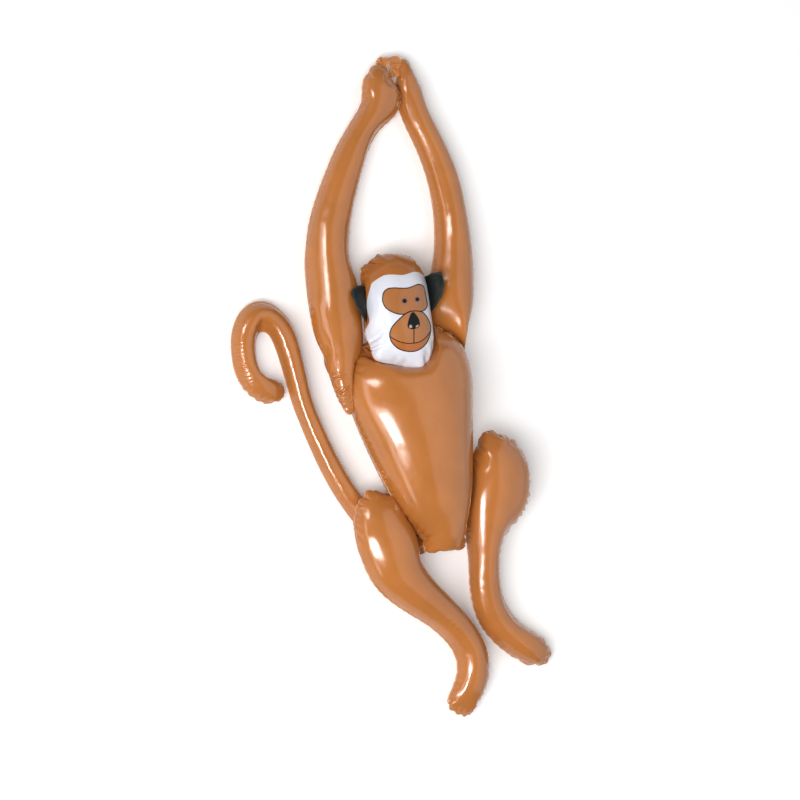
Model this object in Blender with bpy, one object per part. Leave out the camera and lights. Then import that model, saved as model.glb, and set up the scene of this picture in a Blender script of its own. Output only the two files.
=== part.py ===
"""An inflatable hanging monkey, lying on its back as it does when nothing holds it.

Seven inflated vinyl chambers, two flat ears, a hanging tab and a valve, each its own solid.
X runs across the figure, +Y from its feet to its joined hands and +Z up; the floor is at
z = 0. Lengths are in millimetres until the meshes are made. A chamber is a row of oval
sections strung on one smooth route, closed where its two sheets are welded together.
"""
import math

import bmesh
import bpy
from mathutils import Matrix, Vector

MM = 0.001            # metres in a millimetre
GAP = 0.3             # clearance that touching pieces keep
FILM = 1.0            # thickness of a flat piece of welded sheet
FLOOR = 0.0           # what lies on the floor is pressed flat there

END_BUNCHING = 0.55   # how far a chamber's sections crowd towards its rounded ends, 0 to 1

VINYL = (0.52, 0.20, 0.060)
WHITE = (0.86, 0.86, 0.90)
BLACK = (0.012, 0.016, 0.014)

# Each chamber is a list of stations along its middle line:
# (x, y, z, half its width across the floor, half its height).

# The torso runs from the shoulder weld down to the hip weld; widest just under the arms.
TORSO = [
    (-4.5, 41.5, 29, 33, 2),
    (-3.5, 35.5, 30, 43, 16.5),
    (-2, 26, 31.5, 49, 26),
    (0, 12, 33, 52.3, 31.5),
    (0.5, -4, 34, 51.3, 34.5),
    (2, -27, 34, 46.5, 36),
    (4.5, -55, 34, 40, 33),
    (8.5, -90, 34, 30.5, 25),
    (11, -110, 33, 22, 16.5),
    (11.5, -121, 33, 17.5, 9.5),
    (11, -127.5, 33, 13.5, 2),
]

# The head leans back from the chin, which presses into the chest, to the crown.
HEAD = [
    (4.5, 105, 22, 12, 2),
    (4.3, 101, 23, 20.2, 9),
    (3.3, 94, 25, 24.7, 15.5),
    (0.8, 82, 30, 26.7, 20.5),
    (-2.7, 63, 36.5, 27.2, 23),
    (-6, 40, 43.5, 27, 23),
    (-9.5, 29, 47, 26.2, 18),
    (-12.6, 22.5, 49, 22.5, 11),
    (-13.8, 18.5, 50, 17, 2),
]

# The arms start at a pointed weld on the torso's side, swell beside the head and end in
# mitten hands that lean on each other. The monkey's right arm is on the -X side.
RIGHT_ARM = [
    (-51.2, -14.5, 37, 1.8, 1),
    (-52.8, -7.5, 36.5, 4.4, 3.8),
    (-54.5, 3, 36, 7.6, 6.6),
    (-54.8, 15.5, 35, 9.8, 9),
    (-53.5, 27, 33, 12.8, 12),
    (-50.7, 38.5, 30.5, 17.5, 15.5),
    (-49.5, 50, 28.5, 20, 17.5),
    (-47.5, 69, 24.5, 21.5, 19.5),
    (-46, 92, 19.5, 20.3, 18.5),
    (-45.5, 107, 17, 18.5, 17.5),
    (-38, 136, 15, 16.5, 15.5),
    (-15.2, 182, 13, 13.2, 13),
    (-0.2, 204.5, 13, 11, 12),
    (10.7, 215.5, 14, 12.3, 12),
    (19, 224, 14.5, 16.8, 12),
    (18.5, 233, 14.5, 14.8, 11),
    (18.6, 240, 14, 13.2, 8.5),
    (20.2, 247, 13.5, 9.6, 5.5),
    (21, 252.5, 13, 5, 1.5),
]
LEFT_ARM = [
    (39, 8, 14, 3, 1),
    (38.5, 20, 15, 10.5, 8),
    (39, 32, 18, 13.5, 12.5),
    (42.5, 47, 21, 17, 17.5),
    (48.5, 66, 21, 19, 19.5),
    (57.5, 93, 18, 16.5, 17),
    (62.5, 128, 14, 14, 14),
    (61, 160, 12.5, 13, 12.5),
    (54.5, 187, 11.5, 12, 11.5),
    (45.5, 213, 11, 11.5, 11),
    (43, 232, 10.5, 10.8, 10),
    (43, 245.5, 10.5, 6.8, 6.5),
    (42, 256, 10.5, 3.5, 1.5),
]

# The legs are broad flat thighs that narrow to feet with rounded ends.
RIGHT_LEG = [
    (-30.8, -76, 29, 10.5, 1.5),
    (-33.1, -80, 29.5, 15.5, 7),
    (-35.5, -87, 30, 19.3, 12),
    (-37, -96, 30.5, 22, 15.5),
    (-35.8, -106, 30.5, 23.8, 17.5),
    (-33.4, -118, 30.5, 24.5, 18.5),
    (-30, -135, 29.5, 22, 18),
    (-16.5, -153, 26.5, 18, 16.5),
    (4, -172.5, 22, 14.5, 14),
    (21, -192, 17.5, 13, 13),
    (30, -210.5, 13.5, 13.5, 13),
    (28, -228, 12, 13.5, 12.5),
    (19.5, -242, 10.5, 12.5, 10.5),
    (12, -253.5, 9, 9, 2.5),
]
LEFT_LEG = [
    (60.5, -40, 31, 5, 1.5),
    (62, -48, 31, 14, 10),
    (65, -64, 30, 24, 18),
    (64, -85, 28.5, 26.5, 20),
    (56.5, -102, 26, 23.5, 18),
    (50, -119, 23, 16.5, 15.5),
    (48, -138, 20, 13, 13.5),
    (46.5, -157, 17.5, 13, 12.5),
    (49.5, -179.5, 14.5, 13, 12.5),
    (61, -198, 12, 12.5, 12),
    (79, -213, 10.5, 12.5, 11),
    (89, -219.5, 9.5, 10.5, 7.5),
    (96, -223.5, 9, 5.5, 1.5),
]

# The tail lies on the floor: a blunt tip, a hook, and a stem that passes under the thigh
# to the small of the back.
TAIL = [
    (-92, 10.5, 8, 5, 3),
    (-99, 12, 9, 9.5, 8.5),
    (-109, 15, 9.5, 9.5, 10),
    (-118, 25, 9.5, 10, 10),
    (-121, 38, 9.5, 10, 10),
    (-120, 54, 9.5, 10, 10),
    (-114, 68, 9.5, 10, 10),
    (-103, 74, 9.5, 10, 10),
    (-91.5, 65, 9.5, 10, 10),
    (-86, 52, 9.5, 10, 10),
    (-82, 26, 9, 9, 9.5),
    (-77, -5, 8, 8.5, 8.5),
    (-58, -63, 9, 9, 9),
    (-34, -103, 10, 9.5, 9.5),
    (-14, -115, 13, 9.5, 9.5),
    (3, -116, 17, 8.5, 8.5),
]

# An ear is a flat black leaf on the head's side seam, lying over the arm beside it. Its
# outline is given as (share of its reach out from the seam, distance up along the seam).
EAR_OUTLINE = [(0, 0), (0.4, 5.5), (0.77, 14.5), (1, 24), (0.97, 29.5), (0.7, 32.5), (0.3, 31.5), (0, 29.5)]
RIGHT_EAR = {"foot": (-29, 53.5, 41), "top": (-22.5, 80.5, 33), "reach": -16.5, "lift": 12}
LEFT_EAR = {"foot": (21.6, 56, 38), "top": (25, 82, 29), "reach": 11.5, "lift": 13}
EAR_ROOT = 3.0        # the root is buried this far in the head and trimmed to its side

# The hanging tab is a flat web of sheet between the fingertips, with a slot for a cord and
# a raised weld beyond the slot, where the two hands leave it free.
TAB_MIDDLE = (28.5, 249.5)
TAB_TOP = 12.0
TAB_SIZE = (17.0, 16.0)
TAB_CORNER = 4.0
SLOT_SIZE = (2.4, 7.0)
SLOT_CORNER = 1.15
WELD_MIDDLE = (29.6, 255.0)
WELD_SIZE = (5.0, 2.8)
WELD_CORNER = 0.8
WELD_HEIGHT = 0.4

# The filling valve is pressed into the sloping lower back, clear of the floor.
VALVE_PLACE = (8.5, -90.0, 9.5)
VALVE_RADIUS = 7.0
VALVE_TILT = math.radians(11)
VALVE_STANDS_OUT = 2.0
VALVE_LENGTH = 10.0


def tangents(places, values):
    """Slope of each value at each place, from its neighbours on either side."""
    slopes = []
    last = len(places) - 1
    for i in range(len(places)):
        before, after = max(i - 1, 0), min(i + 1, last)
        span = places[after] - places[before]
        slopes.append([(b - a) / span for a, b in zip(values[before], values[after])])
    return slopes


def smooth_stations(stations, count):
    """The stations read off a smooth curve through them, closer together at both ends."""
    places = [0.0]
    for here, there in zip(stations, stations[1:]):
        places.append(places[-1] + (Vector(there[:3]) - Vector(here[:3])).length)
    slopes = tangents(places, stations)
    rows = []
    for step in range(count):
        even = step / (count - 1)
        bunched = 0.5 - 0.5 * math.cos(math.pi * even)
        place = places[-1] * ((1 - END_BUNCHING) * even + END_BUNCHING * bunched)
        i = min(sum(place > p for p in places[1:]), len(stations) - 2)
        span = places[i + 1] - places[i]
        t = (place - places[i]) / span
        h00, h10 = (1 + 2 * t) * (1 - t) ** 2, t * (1 - t) ** 2 * span
        h01, h11 = t * t * (3 - 2 * t), t * t * (t - 1) * span
        rows.append([
            h00 * a + h10 * da + h01 * b + h11 * db
            for a, da, b, db in zip(stations[i], slopes[i], stations[i + 1], slopes[i + 1])
        ])
    return rows


def chamber_mesh(stations, count, sides, grow=0.0):
    """A closed bmesh of oval sections along the stations, grown all round by grow."""
    mesh = bmesh.new()
    rows = smooth_stations(stations, count)
    rings = []
    for i, (x, y, z, half_width, half_height) in enumerate(rows):
        ahead, behind = rows[min(i + 1, count - 1)], rows[max(i - 1, 0)]
        along = (Vector(ahead[:3]) - Vector(behind[:3])).normalized()
        across = along.cross(Vector((0, 0, 1))).normalized()
        upward = across.cross(along)
        end_shift = grow if i == count - 1 else -grow if i == 0 else 0.0
        middle = Vector((x, y, z)) + along * end_shift
        ring = []
        for side in range(sides):
            angle = 2 * math.pi * side / sides
            point = (middle + across * math.cos(angle) * (half_width + grow)
                     + upward * math.sin(angle) * (half_height + grow))
            point.z = max(point.z, FLOOR)
            ring.append(mesh.verts.new(point * MM))
        rings.append(ring)
    for ring, following in zip(rings, rings[1:]):
        for side in range(sides):
            after = (side + 1) % sides
            mesh.faces.new((ring[side], ring[after], following[after], following[side]))
    mesh.faces.new(rings[0])
    mesh.faces.new(rings[-1])
    bmesh.ops.triangulate(mesh, faces=mesh.faces)   # twisted quads have no one surface to cut
    bmesh.ops.recalc_face_normals(mesh, faces=mesh.faces)
    return mesh


def plate_mesh(top_points, thickness):
    """A closed plate: the polygon top_points, and the same one thickness lower."""
    mesh = bmesh.new()
    top = [mesh.verts.new(Vector(p) * MM) for p in top_points]
    bottom = [mesh.verts.new((Vector(p) - Vector((0, 0, thickness))) * MM) for p in top_points]
    mesh.faces.new(top)
    mesh.faces.new(list(reversed(bottom)))
    for i in range(len(top)):
        after = (i + 1) % len(top)
        mesh.faces.new((top[i], bottom[i], bottom[after], top[after]))
    bmesh.ops.triangulate(mesh, faces=mesh.faces)
    bmesh.ops.recalc_face_normals(mesh, faces=mesh.faces)
    return mesh


def make_material(name, colour, roughness):
    material = bpy.data.materials.new(name)
    material.use_nodes = True
    shader = material.node_tree.nodes["Principled BSDF"]
    shader.inputs["Base Color"].default_value = (*colour, 1.0)
    shader.inputs["Roughness"].default_value = roughness
    shader.inputs["Metallic"].default_value = 0.0
    return material


def make_object(name, mesh, colour=None, roughness=0.2):
    """An object from a bmesh; without a colour it is a cutter, which is left out."""
    data = bpy.data.meshes.new(name)
    mesh.to_mesh(data)
    mesh.free()
    thing = bpy.data.objects.new(name, data)
    bpy.context.scene.collection.objects.link(thing)
    if colour is None:
        thing.hide_render = True
        thing.display_type = "WIRE"
    else:
        data.materials.append(make_material(name, colour, roughness))
        data.shade_smooth()
    return thing


def combine(piece, other, operation="DIFFERENCE"):
    """Cut the piece by the other object, or join the two, exactly and for good."""
    boolean = piece.modifiers.new("combine", "BOOLEAN")
    boolean.operation = operation
    boolean.solver = "EXACT"
    boolean.object = other
    graph = bpy.context.evaluated_depsgraph_get()
    data = bpy.data.meshes.new_from_object(piece.evaluated_get(graph))
    piece.modifiers.clear()
    piece.data = data


# name: (stations, sections along it, sides round it)
CHAMBERS = {
    "torso": (TORSO, 26, 28),
    "head": (HEAD, 22, 24),
    "right_arm": (RIGHT_ARM, 32, 16),
    "left_arm": (LEFT_ARM, 32, 16),
    "right_leg": (RIGHT_LEG, 30, 16),
    "left_leg": (LEFT_LEG, 30, 16),
    "tail": (TAIL, 48, 12),
}

# Where two chambers press on each other, the first gives way to the second.
GIVES_WAY = [
    ("torso", "head"),
    ("right_arm", "torso"), ("right_arm", "head"),
    ("left_arm", "torso"), ("left_arm", "head"), ("left_arm", "right_arm"),
    ("right_leg", "torso"), ("right_leg", "tail"),
    ("left_leg", "torso"),
    ("tail", "torso"),
]


def ear_mesh(foot, top, reach, lift):
    """A thin curved leaf from the head's side seam, its outer rim lifted over the arm."""
    foot, top = Vector(foot), Vector(top)
    seam = (top - foot).normalized()
    inward = Vector((-math.copysign(EAR_ROOT, reach), 0, 0))
    points = []
    for share, along in EAR_OUTLINE:
        rise = lift * math.sin(0.5 * math.pi * share)
        out = Vector((reach * share, 0, rise)) if share else inward
        points.append(foot + seam * along + out)
    return plate_mesh(points, FILM)


def rounded_rectangle(middle, size, corner, height, steps=4):
    """Corner arcs of a rectangle in the horizontal plane, anticlockwise from above."""
    points = []
    for quarter, (sign_x, sign_y) in enumerate([(1, 1), (-1, 1), (-1, -1), (1, -1)]):
        centre_x = middle[0] + sign_x * (size[0] / 2 - corner)
        centre_y = middle[1] + sign_y * (size[1] / 2 - corner)
        for step in range(steps + 1):
            angle = math.pi / 2 * (quarter + step / steps)
            points.append((centre_x + corner * math.cos(angle),
                           centre_y + corner * math.sin(angle), height))
    return points


def tab_mesh(grow=0.0):
    size = tuple(side + 2 * grow for side in TAB_SIZE)
    outline = rounded_rectangle(TAB_MIDDLE, size, TAB_CORNER, TAB_TOP + grow)
    return plate_mesh(outline, FILM + 2 * grow)


def slot_mesh():
    outline = rounded_rectangle(TAB_MIDDLE, SLOT_SIZE, SLOT_CORNER, TAB_TOP + FILM)
    return plate_mesh(outline, 3 * FILM)


def weld_mesh():
    """The raised weld, rooted halfway down the tab."""
    outline = rounded_rectangle(WELD_MIDDLE, WELD_SIZE, WELD_CORNER, TAB_TOP + WELD_HEIGHT)
    return plate_mesh(outline, WELD_HEIGHT + FILM / 2)


def valve_mesh():
    """A short cylinder through the skin of the back, square to it."""
    mesh = bmesh.new()
    bmesh.ops.create_cone(mesh, cap_ends=True, segments=24, radius1=VALVE_RADIUS * MM,
                          radius2=VALVE_RADIUS * MM, depth=VALVE_LENGTH * MM)
    tilt = Matrix.Rotation(VALVE_TILT, 4, "X")
    inside = Vector((0, 0, VALVE_LENGTH / 2 - VALVE_STANDS_OUT)) * MM
    place = Matrix.Translation(Vector(VALVE_PLACE) * MM) @ tilt @ Matrix.Translation(inside)
    bmesh.ops.transform(mesh, matrix=place, verts=mesh.verts)
    return mesh


def combine_mesh(piece, mesh, operation="DIFFERENCE"):
    """Cut the piece by a bmesh that is used once, or join them."""
    other = make_object("other", mesh)
    combine(piece, other, operation)
    bpy.data.objects.remove(other)


def grown_chamber(name):
    stations, count, sides = CHAMBERS[name]
    return chamber_mesh(stations, count, sides, GAP)


def make_chambers():
    """The seven inflated pieces, each cut back from the ones that press into it."""
    pieces = {}
    for name, (stations, count, sides) in CHAMBERS.items():
        colour = WHITE if name == "head" else VINYL
        pieces[name] = make_object(name, chamber_mesh(stations, count, sides), colour)
    for name, neighbour in GIVES_WAY:
        combine_mesh(pieces[name], grown_chamber(neighbour))
    return pieces


def make_ears():
    for name, ear in (("right_ear", RIGHT_EAR), ("left_ear", LEFT_EAR)):
        piece = make_object(name, ear_mesh(**ear), BLACK, 0.5)
        combine_mesh(piece, grown_chamber("head"))


def make_tab(right_arm, left_arm):
    """The web between the hands, which close round it."""
    tab = make_object("hanging_tab", tab_mesh(), VINYL)
    combine_mesh(tab, slot_mesh())
    combine_mesh(tab, weld_mesh(), "UNION")
    for arm in (right_arm, left_arm):
        combine_mesh(arm, tab_mesh(GAP))


def make_valve():
    valve = make_object("valve", valve_mesh(), VINYL)
    combine_mesh(valve, grown_chamber("torso"))


def centre_on_floor():
    """Move everything so that the whole object's box stands on the origin, middle down."""
    corners = [thing.matrix_world @ Vector(corner)
               for thing in bpy.data.objects for corner in thing.bound_box]
    low = [min(corner[axis] for corner in corners) for axis in range(3)]
    high = [max(corner[axis] for corner in corners) for axis in range(3)]
    shift = Matrix.Translation((-(low[0] + high[0]) / 2, -(low[1] + high[1]) / 2, -low[2]))
    for thing in bpy.data.objects:
        thing.data.transform(shift)


def main():
    for thing in list(bpy.data.objects):
        bpy.data.objects.remove(thing)
    pieces = make_chambers()
    make_ears()
    make_tab(pieces["right_arm"], pieces["left_arm"])
    make_valve()
    centre_on_floor()


main()
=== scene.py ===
"""An inflatable hanging monkey, lying on its back on a pale floor and seen from above.

Each inflated piece is made as the real one is: two flat sheets are cut to a pattern, welded
round their edge and blown up by a small film simulation, so the puckers along the welds come
from the sheet itself. Lengths are in millimetres until a mesh is made.
"""
import math

import bpy
import numpy as np
from mathutils import Matrix, Vector
from mathutils.geometry import delaunay_2d_cdt


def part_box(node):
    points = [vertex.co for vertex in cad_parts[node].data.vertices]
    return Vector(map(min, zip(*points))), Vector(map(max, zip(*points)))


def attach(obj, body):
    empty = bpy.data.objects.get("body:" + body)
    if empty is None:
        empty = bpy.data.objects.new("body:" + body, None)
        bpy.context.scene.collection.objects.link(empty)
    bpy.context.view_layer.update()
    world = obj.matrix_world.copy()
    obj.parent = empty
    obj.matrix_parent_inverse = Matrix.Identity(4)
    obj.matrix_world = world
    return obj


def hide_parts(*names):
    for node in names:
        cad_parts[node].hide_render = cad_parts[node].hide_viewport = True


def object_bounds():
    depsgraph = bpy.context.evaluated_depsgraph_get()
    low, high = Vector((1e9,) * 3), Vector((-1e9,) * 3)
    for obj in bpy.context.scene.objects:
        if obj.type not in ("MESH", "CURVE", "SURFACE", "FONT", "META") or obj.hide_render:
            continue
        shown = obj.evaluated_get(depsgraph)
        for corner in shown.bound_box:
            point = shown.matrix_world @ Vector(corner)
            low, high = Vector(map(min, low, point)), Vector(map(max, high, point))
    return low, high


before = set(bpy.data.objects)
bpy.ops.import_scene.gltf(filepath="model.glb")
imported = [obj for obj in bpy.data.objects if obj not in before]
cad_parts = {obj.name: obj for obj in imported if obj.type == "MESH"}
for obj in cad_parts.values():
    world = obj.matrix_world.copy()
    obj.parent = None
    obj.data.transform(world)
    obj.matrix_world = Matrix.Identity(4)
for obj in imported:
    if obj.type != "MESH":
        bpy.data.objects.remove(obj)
cad_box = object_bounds()

MM = 0.001

# ---- Where the pieces lie: (x, y, z, half width, half height) along each middle line

TORSO = [
    (-4.5, 41.5, 29, 33, 2), (-3.5, 35.5, 30, 43, 16.5), (-2, 26, 31.5, 49, 26), (0, 12, 33, 52.3, 31.5),
    (0.5, -4, 34, 51.3, 34.5), (2, -27, 34, 46.5, 36), (4.5, -55, 34, 40, 33), (8.5, -90, 34, 30.5, 25),
    (11, -110, 33, 22, 16.5), (11.5, -121, 33, 17.5, 9.5), (11, -127.5, 33, 13.5, 2),
]
HEAD = [
    (4.5, 105, 22, 12, 2), (4.3, 101, 23, 20.2, 9), (3.3, 94, 25, 24.7, 15.5), (0.8, 82, 30, 26.7, 20.5),
    (-2.7, 63, 36.5, 27.2, 23), (-6, 40, 43.5, 27, 23), (-9.5, 29, 47, 26.2, 18), (-12.6, 22.5, 49, 22.5, 11),
    (-13.8, 18.5, 50, 17, 2),
]
RIGHT_ARM = [
    (-51.2, -14.5, 37, 1.8, 1), (-52.8, -7.5, 36.5, 4.4, 3.8), (-54.5, 3, 36, 7.6, 6.6),
    (-54.8, 15.5, 35, 9.8, 9), (-53.5, 27, 33, 12.8, 12), (-50.7, 38.5, 30.5, 17.5, 15.5),
    (-49.5, 50, 28.5, 20, 17.5), (-47.5, 69, 24.5, 21.5, 19.5), (-46, 92, 19.5, 20.3, 18.5),
    (-45.5, 107, 17, 18.5, 17.5), (-38, 136, 15, 16.5, 15.5), (-15.2, 182, 13, 13.2, 13),
    (-0.2, 204.5, 13, 11, 12), (10.7, 215.5, 14, 12.3, 12), (19, 224, 14.5, 16.8, 12),
    (18.5, 233, 14.5, 14.8, 11), (18.6, 240, 14, 13.2, 8.5), (20.2, 247, 13.5, 9.6, 5.5),
    (21, 252.5, 13, 5, 1.5),
]
LEFT_ARM = [
    (39, 8, 14, 3, 1), (38.5, 20, 15, 10.5, 8), (39, 32, 18, 13.5, 12.5), (42.5, 47, 21, 17, 17.5),
    (48.5, 66, 21, 19, 19.5), (57.5, 93, 18, 16.5, 17), (62.5, 128, 14, 14, 14), (61, 160, 12.5, 13, 12.5),
    (54.5, 187, 11.5, 12, 11.5), (45.5, 213, 11, 11.5, 11), (43, 232, 10.5, 10.8, 10),
    (43, 245.5, 10.5, 6.8, 6.5), (42, 256, 10.5, 3.5, 1.5),
]
RIGHT_LEG = [
    (-30.8, -76, 29, 10.5, 1.5), (-33.1, -80, 29.5, 15.5, 7), (-35.5, -87, 30, 19.3, 12),
    (-37, -96, 30.5, 22, 15.5), (-35.8, -106, 30.5, 23.8, 17.5), (-33.4, -118, 30.5, 24.5, 18.5),
    (-30, -135, 29.5, 22, 18), (-16.5, -153, 26.5, 18, 16.5), (4, -172.5, 22, 14.5, 14),
    (21, -192, 17.5, 13, 13), (30, -210.5, 13.5, 13.5, 13), (28, -228, 12, 13.5, 12.5),
    (19.5, -242, 10.5, 12.5, 10.5), (12, -253.5, 9, 9, 2.5),
]
LEFT_LEG = [
    (60.5, -40, 31, 5, 1.5), (62, -48, 31, 14, 10), (65, -64, 30, 24, 18), (64, -85, 28.5, 26.5, 20),
    (56.5, -102, 26, 23.5, 18), (50, -119, 23, 16.5, 15.5), (48, -138, 20, 13, 13.5),
    (46.5, -157, 17.5, 13, 12.5), (49.5, -179.5, 14.5, 13, 12.5), (61, -198, 12, 12.5, 12),
    (79, -213, 10.5, 12.5, 11), (89, -219.5, 9.5, 10.5, 7.5), (96, -223.5, 9, 5.5, 1.5),
]
TAIL = [
    (-92, 10.5, 8, 5, 3), (-99, 12, 9, 9.5, 8.5), (-109, 15, 9.5, 9.5, 10), (-118, 25, 9.5, 10, 10),
    (-121, 38, 9.5, 10, 10), (-120, 54, 9.5, 10, 10), (-114, 68, 9.5, 10, 10), (-103, 74, 9.5, 10, 10),
    (-91.5, 65, 9.5, 10, 10), (-86, 52, 9.5, 10, 10), (-82, 26, 9, 9, 9.5), (-77, -5, 8, 8.5, 8.5),
    (-58, -63, 9, 9, 9), (-34, -103, 10, 9.5, 9.5), (-14, -115, 13, 9.5, 9.5), (3, -116, 17, 8.5, 8.5),
]

# ---- Lines, outlines and triangles

ROW_STEP = 1.5        # between the oval sections along a piece


def ramp(value, low, high):
    """A smooth step from 0 at low to 1 at high."""
    t = np.clip((value - low) / (high - low), 0, 1)
    return t * t * (3 - 2 * t)


def unit(vectors, least=0.0):
    return vectors / (np.linalg.norm(vectors, axis=1)[:, None] + least)


def lengths_along(points):
    """How far along a line each of its points is."""
    return np.concatenate([[0], np.cumsum(np.linalg.norm(np.diff(points, axis=0), axis=1))])


def blur(values, places):
    """A soft average down the columns; places are the neighbours' distances, in spreads."""
    kernel = np.exp(-0.5 * places ** 2)
    kernel /= kernel.sum()
    return np.stack([np.convolve(column, kernel, mode="valid") for column in values.T], 1)


def smooth_curve(place, values, slope, s):
    """Values at s on the smooth curve that has these values and slopes at each place."""
    i = np.clip(np.searchsorted(place, s, side="right") - 1, 0, len(place) - 2)
    span = (place[i + 1] - place[i])[:, None]
    t = (s - place[i])[:, None] / span
    return ((1 + 2 * t) * (1 - t) ** 2 * values[i] + t * (1 - t) ** 2 * span * slope[i]
            + t * t * (3 - 2 * t) * values[i + 1] + t * t * (t - 1) * span * slope[i + 1])


def smooth_rows(stations, soft=5.0):
    """Sections along a smooth curve through the stations, softened so that reflections run clean."""
    values = np.array(stations, float)
    place = lengths_along(values[:, :3])
    before = np.maximum(np.arange(len(values)) - 1, 0)
    after = np.minimum(np.arange(len(values)) + 1, len(values) - 1)
    slope = (values[after] - values[before]) / (place[after] - place[before])[:, None]
    rows = smooth_curve(place, values, slope, np.linspace(0, place[-1], int(place[-1] / ROW_STEP) + 1))
    reach = int(3 * soft / ROW_STEP)
    longer = np.vstack([2 * rows[0] - rows[reach:0:-1], rows, 2 * rows[-1] - rows[-2:-reach - 2:-1]])
    out = blur(longer, np.arange(-reach, reach + 1) * ROW_STEP / soft)
    out[0], out[-1] = rows[0], rows[-1]
    out[:, 3:] = np.maximum(out[:, 3:], 0.5)
    return out


def row_axes(rows):
    """Unit vectors along, across and up, for each row."""
    along = unit(np.gradient(rows[:, :3], axis=0))
    across = unit(np.cross(along, [0, 0, 1.0]))
    return along, across, np.cross(across, along)


def flat_middle(rows, curl):
    """The flat pattern's middle line, its direction and right-hand side, and half its width."""
    along, _, up = row_axes(rows)
    a, b = rows[:, 3], rows[:, 4]
    half = math.pi / 4 * (3 * (a + b) - np.sqrt((3 * a + b) * (a + 3 * b)))
    ridges = [np.linalg.norm(np.diff(rows[:, :3] + sign * up * b[:, None], axis=0), axis=1)
              for sign in (1, -1)]
    step = 0.5 * (ridges[0] + ridges[1]) * TAUT
    heading = np.unwrap(np.arctan2(along[:, 1], along[:, 0])) * curl
    middle = 0.5 * (heading[1:] + heading[:-1])
    steps = np.stack([np.cos(middle) * step, np.sin(middle) * step], 1)
    line = np.concatenate([[[0, 0]], np.cumsum(steps, axis=0)])
    ahead = np.stack([np.cos(heading), np.sin(heading)], 1)
    return line, ahead, np.stack([ahead[:, 1], -ahead[:, 0]], 1), half


def resample(loop, spacing):
    """The same closed line with evenly spaced points."""
    closed = np.vstack([loop, loop[:1]])
    place = lengths_along(closed)
    t = np.linspace(0, place[-1], max(8, int(round(place[-1] / spacing))), endpoint=False)
    return np.stack([np.interp(t, place, column) for column in closed.T], 1)


def soften_loop(loop, reach):
    return blur(np.vstack([loop[-3 * reach:], loop, loop[:3 * reach]]),
                np.arange(-3 * reach, 3 * reach + 1) / reach)


def loop_tangent(loop):
    return unit(np.roll(loop, -1, axis=0) - np.roll(loop, 1, axis=0))


def outward(loop):
    """Unit vectors out of a flat closed line."""
    tangent = loop_tangent(loop)
    x, y = loop.T
    turn = np.sign(np.sum(x * np.roll(y, -1) - np.roll(x, -1) * y))
    return np.stack([tangent[:, 1], -tangent[:, 0]], 1) * turn


def inside(points, loop):
    """Which points are inside a flat closed line."""
    x, y = points[:, :1], points[:, 1:2]
    (x0, y0), (x1, y1) = loop.T, np.roll(loop, -1, axis=0).T
    rise = np.where(y1 == y0, 1e-12, y1 - y0)
    crossed = ((y0 > y) != (y1 > y)) & (x < (x1 - x0) * (y - y0) / rise + x0)
    return crossed.sum(axis=1) % 2 == 1


def nearest(points, targets):
    """Index of the nearest target to each point, and how far it is."""
    index, gap = np.empty(len(points), int), np.empty(len(points))
    for start in range(0, len(points), 4000):
        some = slice(start, start + 4000)
        square = ((points[some, None, :] - targets[None]) ** 2).sum(-1)
        index[some] = square.argmin(1)
        gap[some] = np.sqrt(square.min(1))
    return index, gap


def lattice(low, high, spacing, rng):
    """Points on a slightly shaken triangular grid."""
    rows = []
    for j, y in enumerate(np.arange(low[1], high[1], spacing * 0.866)):
        x = np.arange(low[0] + (0.5 * spacing if j % 2 else 0), high[0], spacing)
        rows.append(np.stack([x, np.full(len(x), y)], 1))
    points = np.vstack(rows)
    return points + rng.uniform(-0.07 * spacing, 0.07 * spacing, points.shape)


def triangulate(points, loops):
    """Anticlockwise triangles over flat points, with closed lines kept: (first point, count) of each."""
    edges = [(first + k, first + (k + 1) % count) for first, count in loops for k in range(count)]
    made = delaunay_2d_cdt([Vector(p) for p in points], edges, [], 1, 1e-7)
    came_from = np.array([source[0] for source in made[3]])
    faces = came_from[np.array([face[:] for face in made[2]])]
    a, b = points[faces[:, 1]] - points[faces[:, 0]], points[faces[:, 2]] - points[faces[:, 0]]
    area = a[:, 0] * b[:, 1] - a[:, 1] * b[:, 0]
    faces[area < 0] = faces[area < 0][:, ::-1]
    return faces[np.abs(area) > 1e-9]


def sides_of(faces):
    return np.vstack([faces[:, [0, 1]], faces[:, [1, 2]], faces[:, [2, 0]]])


def corners_facing(faces):
    """The corner that faces each of sides_of(faces)."""
    return np.concatenate([faces[:, 2], faces[:, 0], faces[:, 1]])


def edges_of(faces):
    return np.unique(np.sort(sides_of(faces), axis=1), axis=0)


def gather(index, values, count):
    """For each of count points, the sum of the values whose index it is."""
    return np.stack([np.bincount(index, weights=column, minlength=count) for column in values.T], 1)


def neighbour_sum(x, edges):
    a, b = edges.T
    return gather(a, x[b], len(x)) + gather(b, x[a], len(x))


def stop_at_floor(x):
    np.maximum(x[:, 2], 0, out=x[:, 2])


def area_normals(x, faces):
    """Normals of the points, as long as the area round them is large."""
    a, b, c = x[faces[:, 0]], x[faces[:, 1]], x[faces[:, 2]]
    return gather(faces.ravel(order="F"), np.tile(np.cross(b - a, c - a), (3, 1)), len(x))


# ---- The film simulation

TAUT = 0.985          # the sheet is cut this much shorter than it will be drawn out
FLANGE = 1.3          # width of the welded rim
BAND = 11.0           # the mesh is fine this far in from the weld
RIM_SHARE = 0.9       # the drawn outlines run this far outside the weld
END_REACH = 28.0      # an end drawn in by its puckers is let out again over this length
SPACING = (1.2, 2.8)  # of points, near the weld and inside
STEPS = 400


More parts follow.
